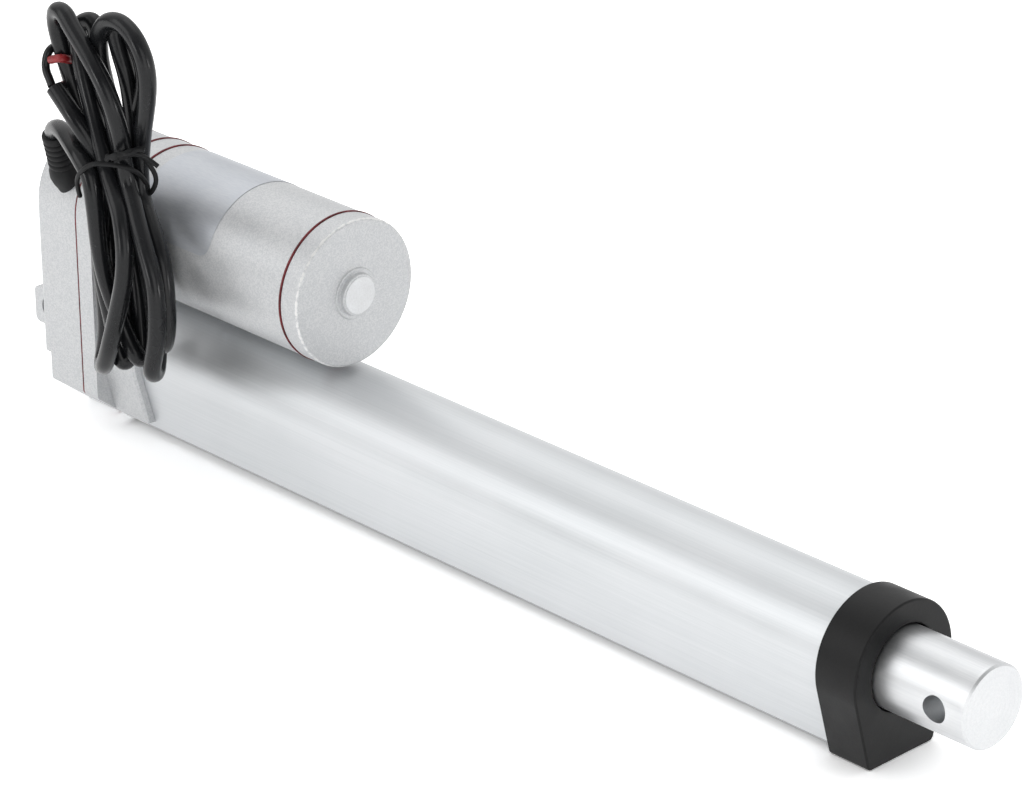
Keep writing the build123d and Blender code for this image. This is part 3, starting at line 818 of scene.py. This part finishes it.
@dataclass(frozen=True)
class Lamp:
    """A soft rectangular lamp: place and size in millimetres, power in watts."""

    name: str
    place: Point
    size: tuple[float, float]
    power: float


@dataclass
class Studio:
    """Camera at the photograph's angle, white paper floor, pale room and soft lamps."""

    floor_z: float = -21.94
    eye: Point = (849.025, -651.789, 452.538)
    right: Point = (0.69140, 0.72244, -0.00603)
    up: Point = (-0.29335, 0.28835, 0.91148)
    back: Point = (0.66023, -0.62843, 0.41130)
    lens: float = 155.87
    aim: Point = (155.0, 0.0, 5.0)
    floor_seen: float = 1.85
    floor_glow: float = 0.50
    room_level: float = 0.18
    glows: tuple[Glow, ...] = (
        Glow((-0.55, 0.70, 0.35), 25.0, 75.0, 0.62),
        Glow((-0.35, -0.10, 0.93), 25.0, 72.0, 0.52),
        Glow((0.70, 0.65, 0.10), 15.0, 60.0, 0.65),
        Glow((-0.10, -0.97, 0.05), 4.0, 9.0, 7.0),
        Glow((0.97, 0.15, 0.05), 4.0, 9.0, 7.0),
    )
    lamps: tuple[Lamp, ...] = (
        Lamp("left_softbox", (-480, -1100, 600), (1100, 850), 4.8),
        Lamp("right_softbox", (1050, -620, 330), (700, 700), 2.3),
        Lamp("top_softbox", (100, 300, 1300), (1000, 800), 1.9),
    )

    def camera(self) -> None:
        """Sets up the camera."""
        data = bpy.data.cameras.new("camera")
        data.lens = self.lens
        data.sensor_width = 36.0
        data.clip_end = 20.0
        camera = bpy.data.objects.new("camera", data)
        turn = Matrix((self.right, self.up, self.back)).transposed().to_4x4()
        camera.matrix_world = Matrix.Translation(Vector(self.eye) * MM) @ turn
        bpy.context.scene.collection.objects.link(camera)
        bpy.context.scene.camera = camera

    def floor(self) -> None:
        """Lays the paper floor, which the camera sees overexposed, with its shadows kept."""
        nothing_selected()
        bpy.ops.mesh.primitive_plane_add(size=6.0, location=(0, 0, self.floor_z * MM))
        floor = bpy.context.object
        floor.name = "floor"
        material = bpy.data.materials.new("white_paper_floor")
        material.use_nodes = True
        tree = material.node_tree
        tree.nodes.clear()
        path = add_node(tree, "LightPath")
        plain = linear(Hue.FLOOR)
        bright = (*(self.floor_seen * part for part in plain[:3]), 1.0)
        seen = blended(tree, path.outputs["Is Camera Ray"], plain, bright)
        paper = add_node(tree, "BsdfDiffuse", inputs={"Color": seen})
        glow = calculated(tree, "MULTIPLY", path.outputs["Is Glossy Ray"], self.floor_glow)
        white = add_node(tree, "Emission", inputs={"Color": WHITE, "Strength": glow})
        both = add_node(
            tree, "AddShader", inputs={0: paper.outputs["BSDF"], 1: white.outputs["Emission"]}
        )
        add_node(tree, "OutputMaterial", inputs={"Surface": both.outputs["Shader"]})
        floor.data.materials.append(material)

    def room(self) -> None:
        """Fills the room: dim round the camera, pale behind and above, white to the camera."""
        world = bpy.data.worlds.new("studio")
        bpy.context.scene.world = world
        world.use_nodes = True
        tree = world.node_tree
        tree.nodes.clear()
        path = add_node(tree, "LightPath")
        way = add_node(tree, "TexCoord").outputs["Generated"]
        level = self.room_level
        for glow in self.glows:
            level = calculated(tree, "ADD", level, glow.level(tree, way))
        room = add_node(tree, "Background", inputs={"Color": WHITE, "Strength": level})
        backdrop = add_node(tree, "Background", inputs={"Color": WHITE, "Strength": 1.0})
        mix = add_node(
            tree,
            "MixShader",
            inputs={
                0: path.outputs["Is Camera Ray"],
                1: room.outputs["Background"],
                2: backdrop.outputs["Background"],
            },
        )
        add_node(tree, "OutputWorld", inputs={"Surface": mix.outputs["Shader"]})

    def light(self, lamp: Lamp) -> None:
        """Hangs a lamp, aimed at the middle of the actuator.

        Args:
            lamp: The lamp.
        """
        data = bpy.data.lights.new(lamp.name, "AREA")
        data.shape = "RECTANGLE"
        data.size, data.size_y = lamp.size[0] * MM, lamp.size[1] * MM
        data.energy = lamp.power
        hung = bpy.data.objects.new(lamp.name, data)
        spot = Vector(lamp.place) * MM
        look = (Vector(self.aim) * MM - spot).to_track_quat("-Z", "Y")
        hung.matrix_world = Matrix.Translation(spot) @ look.to_matrix().to_4x4()
        bpy.context.scene.collection.objects.link(hung)

    def build(self) -> None:
        """Sets the scene round the actuator."""
        bpy.context.scene.view_settings.view_transform = "Standard"
        self.camera()
        self.floor()
        self.room()
        for lamp in self.lamps:
            self.light(lamp)


@dataclass
class Housing:
    """Two castings with the red gasket between them, and their screws."""

    edge_mm: float = 0.45

    def build(self) -> None:
        """Builds the housing's pieces."""
        refined("rear_cover", "body", Finishes.casting, self.edge_mm)
        refined("front_housing", "body", Finishes.casting, self.edge_mm)
        refined("housing_gasket", "body", Finishes.gasket, 0.0)
        dress_nodes(("housing_screws",), Finishes.steel)


@dataclass
class Motor:
    """Motor: ring, can and end cap with red gaskets, its bare label and its bare sticker."""

    axis_z: float = MOTOR_AXIS_Z
    radius: float = 18.83
    label_start: float = 46.8
    label_end: float = 76.2
    label_from_deg: float = 13.5
    label_to_deg: float = 166.5
    label_corner: float = 3.2
    label_lift: float = 0.06
    label_wall: float = 0.05
    label_steps: tuple[int, int] = (24, 96)
    boss_front: float = 111.4
    sticker_radius: float = 4.7
    sticker_wall: float = 0.12
    sticker_gap: float = 0.01
    gasket_swell: float = 1.011
    steel_nodes: tuple[str, ...] = ("armature_shaft", "armature_core", "motor_pinion", "motor_bolts")

    def label(self) -> Piece:
        """Wraps the bare foil label round the top of the can.

        Returns:
            The label.
        """
        reach = self.radius + self.label_lift
        long = self.label_end - self.label_start
        wide = math.radians(self.label_to_deg - self.label_from_deg) * reach
        nothing_selected()
        across, around = self.label_steps
        bpy.ops.mesh.primitive_grid_add(x_subdivisions=across, y_subdivisions=around, size=1.0)
        label = bpy.context.object
        label.name = "foil_label"
        bpy.ops.transform.resize(value=(long * MM, wide * MM, 1))
        apply_place(label)
        inner_x, inner_y = (long / 2 - self.label_corner) * MM, (wide / 2 - self.label_corner) * MM
        for vertex in label.data.vertices:
            over_x, over_y = abs(vertex.co.x) - inner_x, abs(vertex.co.y) - inner_y
            if over_x > 0 and over_y > 0:
                pull = max(over_x, over_y) / math.hypot(over_x, over_y)
                vertex.co.x = math.copysign(inner_x + over_x * pull, vertex.co.x)
                vertex.co.y = math.copysign(inner_y + over_y * pull, vertex.co.y)
        middle = math.radians((self.label_from_deg + self.label_to_deg) / 2)
        centre_x = (self.label_start + self.label_end) / 2 * MM
        for vertex in label.data.vertices:
            turn = middle + vertex.co.y / (reach * MM)
            out, up = reach * MM * math.cos(turn), reach * MM * math.sin(turn)
            vertex.co = Vector((centre_x + vertex.co.x, -out, self.axis_z * MM + up))
        wall = label.modifiers.new("foil", "SOLIDIFY")
        wall.thickness = self.label_wall * MM
        wall.offset = 1.0
        apply_modifiers(label)
        bpy.ops.object.mode_set(mode="EDIT")
        bpy.ops.mesh.select_all(action="SELECT")
        bpy.ops.mesh.normals_make_consistent(inside=False)
        bpy.ops.object.mode_set(mode="OBJECT")
        bpy.ops.object.shade_smooth_by_angle(angle=math.radians(35))
        return finish_piece(label, "body", Finishes.foil)

    def sticker(self) -> Piece:
        """Puts the bare round sticker on the boss.

        Returns:
            The sticker.
        """
        rim, wall = self.sticker_radius, self.sticker_wall
        edge = 0.6 * wall
        disc = lathed("boss_sticker", [(0.0, rim), (edge, rim), (wall, rim - edge)], 72)
        turned_to_x(disc, self.boss_front + self.sticker_gap, 0.0, self.axis_z)
        soften(disc, 0.0)
        return finish_piece(disc, "body", Finishes.sticker)

    def build(self) -> None:
        """Builds the motor's pieces."""
        refined("motor_ring", "body", Finishes.can, 0.3)
        refined("motor_can", "body", Finishes.can, 0.25)
        refined("motor_end_cap", "body", Finishes.end_cap, 0.3)
        gaskets = refined("motor_gaskets", "body", Finishes.gasket, 0.0)
        axis_z = self.axis_z * MM
        for vertex in gaskets.data.vertices:
            vertex.co.y *= self.gasket_swell
            vertex.co.z = axis_z + (vertex.co.z - axis_z) * self.gasket_swell
        self.label()
        self.sticker()
        dress_nodes(self.steel_nodes, Finishes.steel)
        dress_nodes(("motor_front_bush", "motor_rear_bush"), Finishes.bronze)
        dress_nodes(("windings", "commutator"), Finishes.copper)
        dress_nodes(("magnets",), Finishes.ferrite)
        dress_nodes(("brushes",), Finishes.carbon)
        dress_nodes(("brush_plate",), Finishes.nylon)


@dataclass
class Tube:
    """Outer tube with its seal, its moulded front cap and the wiper."""

    cap_edge_mm: float = 0.5

    def build(self) -> None:
        """Builds the tube's pieces."""
        refined("outer_tube", "body", Finishes.tube, 0.25)
        refined("tube_seal", "body", Finishes.rubber, 0.0)
        refined("front_cap", "body", Finishes.nylon, self.cap_edge_mm)
        refined("rod_wiper", "body", Finishes.rubber, 0.15)
        dress_nodes(("front_guide",), Finishes.acetal)


@dataclass
class PushRod:
    """Push rod with its cross hole, and the nut that drives it."""

    def build(self) -> None:
        """Builds the rod's pieces."""
        refined("rod", "rod", Finishes.rod, 0.12)
        dress_nodes(("drive_nut",), Finishes.bronze)
        dress_nodes(("nut_pins",), Finishes.steel)


@dataclass
class Drive:
    """Gear train, lead screw, bearings and limit switches, which the housings close in."""

    def build(self) -> None:
        """Dresses the drive's nodes."""
        dress_nodes(("idler_gear", "screw_gear"), Finishes.acetal)
        dress_nodes(
            ("idler_pin", "lead_screw", "rear_bearing", "front_bearing", "bearing_retainer"),
            Finishes.steel,
        )
        dress_nodes(("limit_board",), Finishes.board)
        dress_nodes(("rear_limit_switch", "front_limit_switch", "board_diodes"), Finishes.nylon)
        dress_nodes(("rear_switch_plunger", "front_switch_plunger"), Finishes.acetal)


# Control points of the lead, from the photograph, in millimetres.
FOLD: tuple[Point, ...] = (
    (22.2, -21.8, 58.2), (24.3, -23.4, 60.3), (29.1, -25.4, 62.4), (34.2, -27.6, 63.1),
    (38.8, -29.4, 62.2), (43.7, -31.2, 61.1), (47.3, -32.0, 59.1),
)
# Half turns of the hank, by their place in the tie, where each one starts.
HANK: dict[str, tuple[Point, ...]] = {
    "front_left": (
        (49.2, -32.0, 57.0), (50.4, -32.2, 53.0), (51.0, -32.2, 48.2), (51.0, -31.8, 42.0),
        (50.8, -31.0, 35.9), (50.8, -29.8, 29.7), (51.7, -28.6, 24.0), (53.7, -28.0, 18.8),
        (56.3, -27.8, 14.1), (59.2, -27.5, 10.3), (58.4, -25.0, 9.3), (56.5, -23.6, 13.2),
        (55.2, -22.8, 19.2), (53.7, -22.2, 25.9), (51.4, -21.8, 33.9), (48.8, -22.0, 43.9),
    ),
    "back_middle": (
        (48.1, -22.7, 57.0), (49.3, -21.6, 64.7), (53.9, -21.2, 71.6), (58.3, -21.5, 77.7),
        (59.7, -21.8, 83.1), (58.6, -22.0, 87.9), (55.6, -22.4, 93.1), (52.3, -23.0, 95.4),
        (51.1, -23.8, 93.6), (52.6, -23.8, 88.4), (54.6, -23.4, 82.7), (54.7, -22.4, 75.7),
        (53.6, -21.2, 66.8),
    ),
    "back_right": (
        (51.9, -20.1, 57.0), (53.9, -20.8, 48.9), (57.5, -21.2, 43.8), (61.3, -21.8, 37.6),
        (63.3, -22.2, 30.9), (63.7, -22.6, 23.1), (63.5, -23.6, 15.9), (67.8, -26.2, 15.3),
        (71.1, -27.4, 21.5), (71.3, -27.4, 28.8), (70.4, -27.0, 34.5), (68.7, -26.4, 39.0),
        (66.0, -25.6, 43.0), (62.0, -24.4, 47.0), (57.8, -23.0, 50.7),
    ),
    "middle_far_right": (
        (56.1, -22.1, 57.0), (59.6, -23.6, 67.8), (63.2, -25.2, 74.9), (65.7, -26.2, 80.9),
        (66.6, -26.7, 86.4), (65.5, -27.0, 91.5), (62.2, -27.2, 95.8), (57.3, -27.2, 97.8),
        (52.0, -27.0, 96.4), (48.1, -26.6, 91.8), (47.6, -26.2, 85.9), (48.8, -25.6, 78.6),
        (50.7, -24.8, 69.6),
    ),
    "middle_right": (
        (52.3, -24.7, 57.0), (54.4, -23.8, 47.8), (58.9, -23.8, 40.7), (62.1, -24.2, 34.3),
        (64.1, -24.8, 27.9), (64.9, -25.2, 20.3), (65.0, -25.8, 13.3), (66.8, -28.0, 8.6),
        (69.0, -31.4, 10.7), (71.4, -32.0, 16.9), (72.7, -32.0, 21.8), (72.6, -31.6, 28.3),
        (71.8, -31.2, 34.3), (69.7, -30.8, 38.8), (66.8, -30.2, 43.5), (63.6, -29.2, 47.6),
        (60.1, -27.8, 52.2),
    ),
    "front_right": (
        (56.7, -26.6, 57.0), (57.0, -28.0, 68.0), (57.0, -29.6, 74.9), (55.0, -30.2, 80.4),
        (51.4, -30.4, 85.2), (46.7, -30.2, 89.5), (42.0, -29.8, 93.1), (38.4, -29.2, 96.0),
        (33.9, -28.2, 95.0), (32.0, -26.8, 90.6), (32.4, -26.0, 85.8), (33.8, -25.4, 80.3),
        (35.7, -24.8, 73.9), (39.5, -24.6, 65.5),
    ),
    "back_left": (
        (44.3, -25.3, 57.0), (43.9, -25.0, 46.5), (43.0, -24.8, 37.7), (43.2, -25.0, 28.4),
        (44.4, -25.2, 19.4), (44.7, -25.4, 11.4), (44.7, -27.4, 4.1), (50.7, -31.6, 6.5),
        (55.3, -33.4, 13.1), (57.5, -33.8, 17.9), (59.5, -34.0, 22.9), (61.3, -34.0, 28.0),
        (62.7, -33.8, 33.1), (63.0, -33.4, 37.3), (62.8, -33.0, 41.3), (61.8, -32.4, 45.1),
        (59.4, -31.2, 50.0), (56.0, -30.0, 53.4),
    ),
    "front_middle": (
        (52.9, -29.2, 57.0), (47.6, -27.4, 65.5), (44.1, -26.4, 71.9), (41.4, -26.0, 78.3),
        (38.3, -25.0, 84.5), (36.5, -23.8, 88.6), (37.4, -23.0, 91.6), (41.9, -22.6, 93.0),
        (43.3, -22.8, 88.3), (44.3, -23.4, 82.5), (44.8, -23.8, 75.0), (44.6, -22.8, 65.3),
    ),
    "back_far_left": (
        (43.9, -20.7, 57.0), (44.1, -21.6, 45.1), (45.4, -22.2, 36.3), (47.9, -22.8, 27.8),
        (50.6, -23.2, 19.3), (52.0, -23.8, 11.8), (52.9, -25.6, 7.0), (52.0, -27.2, 7.1),
        (49.6, -26.6, 12.5), (49.2, -27.6, 19.9), (48.1, -28.0, 25.1), (47.4, -28.4, 31.2),
        (47.5, -28.4, 37.3), (47.7, -27.6, 45.9),
    ),
    "middle_left": (
        (48.5, -27.3, 57.0), (46.4, -28.4, 62.9), (43.6, -29.8, 67.7), (41.1, -30.4, 70.8),
        (38.0, -30.4, 73.4), (35.0, -30.4, 75.8),
    ),
}
# Band with its loop, its run behind the hank, the two strands of the knot, and one end.
TIE_RUNS: tuple[tuple[Point, ...], ...] = (
    (
        (43.6, -31.0, 49.9), (44.4, -32.2, 52.6), (45.3, -33.0, 55.2), (48.0, -34.2, 58.1),
        (51.2, -34.6, 60.7), (53.5, -33.6, 62.0), (55.8, -32.0, 62.0), (58.4, -30.4, 61.9),
        (60.6, -28.8, 61.4), (59.7, -25.4, 59.0), (58.9, -22.8, 56.2), (58.9, -21.8, 53.8),
        (58.9, -21.8, 52.0), (60.6, -21.8, 53.6), (62.1, -21.8, 56.0), (62.3, -22.0, 58.2),
        (61.5, -22.6, 60.1), (61.3, -24.0, 62.5), (61.8, -26.0, 64.4), (60.6, -28.0, 64.9),
        (59.6, -30.0, 64.2), (58.4, -31.6, 63.3),
    ),
    (
        (46.5, -33.0, 57.3), (39.1, -24.0, 54.1), (42.3, -19.6, 54.3), (48.1, -19.2, 55.3),
        (53.5, -19.8, 55.9), (57.7, -21.4, 54.9),
    ),
    (
        (56.9, -32.8, 63.6), (59.0, -32.2, 65.5), (60.7, -31.2, 65.1), (61.8, -29.8, 66.4),
        (62.6, -28.0, 66.4), (63.2, -26.0, 66.6),
    ),
    (
        (56.6, -32.2, 64.4), (59.7, -32.6, 64.3), (60.3, -30.8, 65.9), (62.6, -30.2, 65.7),
        (62.5, -27.6, 66.7), (63.9, -26.4, 66.2),
    ),
    (
        (61.4, -28.6, 65.6), (62.2, -26.8, 65.0), (63.0, -25.0, 63.6), (64.0, -24.0, 62.5),
        (65.1, -23.4, 61.6),
    ),
)
BLACK_WIRE: tuple[Point, ...] = (
    (33.8, -30.4, 75.9), (32.6, -30.0, 77.1), (30.4, -29.4, 78.7), (29.7, -28.8, 81.2),
    (30.2, -28.0, 83.7), (29.2, -25.0, 83.9), (29.3, -22.0, 82.7),
)
RED_WIRE: tuple[Point, ...] = (
    (34.5, -29.4, 75.3), (31.8, -24.5, 74.4), (31.3, -21.6, 75.1), (32.6, -21.2, 77.9),
    (34.7, -24.5, 81.2), (36.6, -28.4, 83.3), (35.0, -29.2, 83.1), (31.9, -28.8, 81.8),
)
# Height and radius of the strain relief's foot, and of its tip ring from the tip.
BOOT_FOOT = ((-3.0, 3.1), (-1.6, 3.4), (0.0, 3.95), (1.8, 4.3), (3.6, 4.15), (4.8, 3.7))
BOOT_RING = ((-1.7, 3.25), (-0.5, 3.2), (0.0, 2.95), (0.1, 2.5))
# One rib of it: share of the rib's height, and depth under its crest.
BOOT_RIB = ((0.0, 0.5), (0.2, 0.05), (0.5, 0.0), (0.75, 0.1), (0.9, 0.5))


@dataclass
class Lead:
    """Lead: ribbed boot, cord folded into a hank, the tie round it and its two bare wires."""

    diameter: float = 4.6
    wire_diameter: float = 2.1
    tie_diameter: float = 1.24
    length_m: float = 0.95
    boot_base: Point = (19.4, -15.8, 43.8)
    boot_tip: Point = FOLD[0]
    boot_sides: int = 64
    boot_edge_mm: float = 0.16
    boot_sharp_deg: float = 20.0
    ribs: int = 5
    ribs_start: float = 5.4
    ribs_end: float = 2.0
    rib_crest: float = 3.75
    rib_taper: float = 0.1

    def strand(
        self,
        name: str,
        runs: tuple[tuple[Point, ...], ...],
        diameter: float,
        finish: Finish,
        slot: str,
        replaced: tuple[str, ...],
        steps: tuple[int, int] = (8, 6),
    ) -> Piece:
        """Lays a round strand along one smooth spline for each run.

        Args:
            name: The piece's name.
            runs: The control points of each spline, in millimetres.
            diameter: Its diameter, in millimetres.
            finish: Its finish.
            slot: Not used.
            replaced: The nodes that it replaces.
            steps: Steps between two control points, and the bevel's resolution round it.

        Returns:
            The strand.
        """
        curve = bpy.data.curves.new(name, "CURVE")
        curve.dimensions = "3D"
        curve.resolution_u, curve.bevel_resolution = steps
        curve.bevel_depth = diameter / 2 * MM
        curve.use_fill_caps = True
        for run in runs:
            spline = curve.splines.new("NURBS")
            spline.points.add(len(run) - 1)
            for place, point in zip(spline.points, run):
                place.co = (*(Vector(point) * MM), 1.0)
            spline.order_u = 3
            spline.use_endpoint_u = True
        strand = bpy.data.objects.new(name, curve)
        bpy.context.scene.collection.objects.link(strand)
        return finish_piece(strand, "body", finish, replaced)

    def cord(self) -> Piece:
        """Lays the whole cord: the fold, then the half turns, each through its place in the tie.

        Returns:
            The cord.
        """
        route = (*FOLD, *(point for bight in HANK.values() for point in bight))
        stands_for = ("lead_cord", "cord_hank")
        return self.strand(
            "cord", (route,), self.diameter, Finishes.jacket, "cord_jacket", stands_for
        )

    def wires(self) -> list[Piece]:
        """Lays the two bare wires that leave the jacket's end.

        Returns:
            The wires.
        """
        wide = self.wire_diameter
        return [
            self.strand(
                "black_wire", (BLACK_WIRE,), wide, Finishes.jacket, "cord_jacket", ("black_lead",)
            ),
            self.strand(
                "red_wire", (RED_WIRE,), wide, Finishes.wire_red, "red_wire", ("red_lead",)
            ),
        ]

    def boot(self) -> Piece:
        """Builds the strain relief, seated on the cover's shoulder: stout foot, ribs and tip ring.

        Returns:
            The boot.
        """
        base, tip = Vector(self.boot_base), Vector(self.boot_tip)
        long = (tip - base).length
        profile = list(BOOT_FOOT)
        step = (long - self.ribs_end - self.ribs_start) / self.ribs
        for number in range(self.ribs):
            start = self.ribs_start + number * step
            crest = self.rib_crest - self.rib_taper * number
            profile += [(start + share * step, crest - depth) for share, depth in BOOT_RIB]
        profile += [(long + height, radius) for height, radius in BOOT_RING]
        boot = lathed("ribbed_boot", profile, self.boot_sides)
        turn = (tip - base).to_track_quat("Z", "Y").to_matrix().to_4x4()
        boot.matrix_world = Matrix.Translation(base * MM) @ turn
        apply_place(boot)
        soften(boot, self.boot_edge_mm, 2, self.boot_sharp_deg)
        return finish_piece(boot, "body", Finishes.rubber, ("strain_relief",))

    def tie(self) -> Piece:
        """Lays the thin tie round the waist of the hank, with its loop, its knot and its ends.

        Returns:
            The tie.
        """
        finish, slot, wide = Finishes.rubber, "cord_jacket", self.tie_diameter
        return self.strand("twist_tie_wire", TIE_RUNS, wide, finish, slot, ("twist_tie",), (6, 3))

    def build(self) -> None:
        """Builds the lead."""
        cord = self.cord()
        boot = self.boot()
        wires = self.wires()
        tie = self.tie()


def main() -> None:
    """Builds the scene and dresses the actuator."""
    logging.basicConfig(level=logging.INFO, format="%(name)s: %(message)s")
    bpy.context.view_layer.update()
    Studio().build()
    Lead().build()
    Housing().build()
    Motor().build()
    Tube().build()
    PushRod().build()
    Drive().build()
    nothing_selected()


if __name__ == "__main__":
    main()
